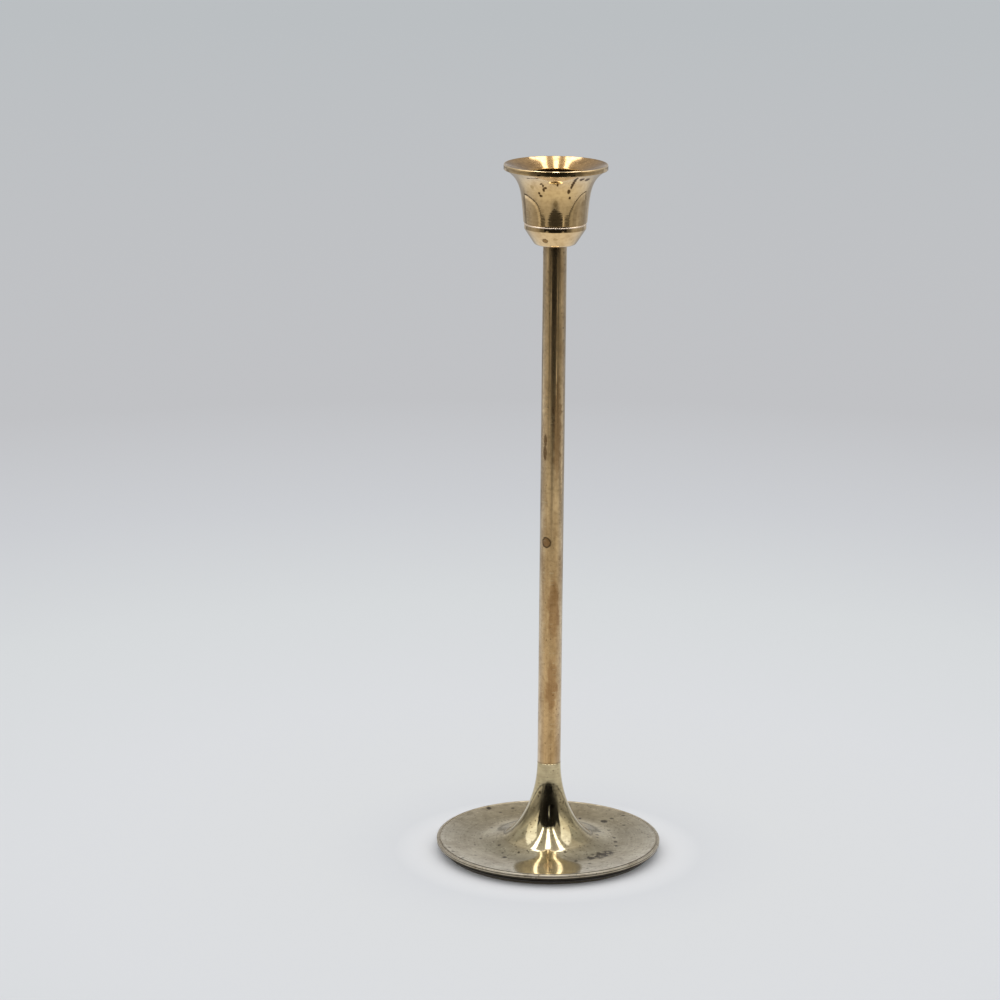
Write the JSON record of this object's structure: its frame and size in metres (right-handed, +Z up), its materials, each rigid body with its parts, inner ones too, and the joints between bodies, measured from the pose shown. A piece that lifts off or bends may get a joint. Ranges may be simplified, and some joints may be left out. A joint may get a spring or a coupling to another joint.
{
  "type": "taper candlestick",
  "caption": "Brass candlestick for a single taper candle: a flared cup with a straight socket on a thin stem, over a trumpet-shaped disc foot on a felt pad.",
  "frame": {"origin": "on the table, under the centre of the foot", "axes": "+Z up along the stem, towards the candle; the part is the same all round, so X and Y are any two level directions"},
  "size_m": [0.0902, 0.0902, 0.28],
  "materials": {
    "cup_brass": "polished, lightly tarnished",
    "stem_brass": "polished, unevenly tarnished",
    "foot_brass": "polished, greyed and spotted",
    "zinced_steel": "zinc plated",
    "felt": "matted wool felt"
  },
  "bodies": {
    "root": {"candle_cup": "cup_brass", "stem_tube": "stem_brass", "foot": "foot_brass", "tie_rod": "zinced_steel", "flat_washer": "zinced_steel", "spring_washer": "zinced_steel", "hex_nut": "zinced_steel", "felt_pad": "felt"}
  },
  "joints": []
}
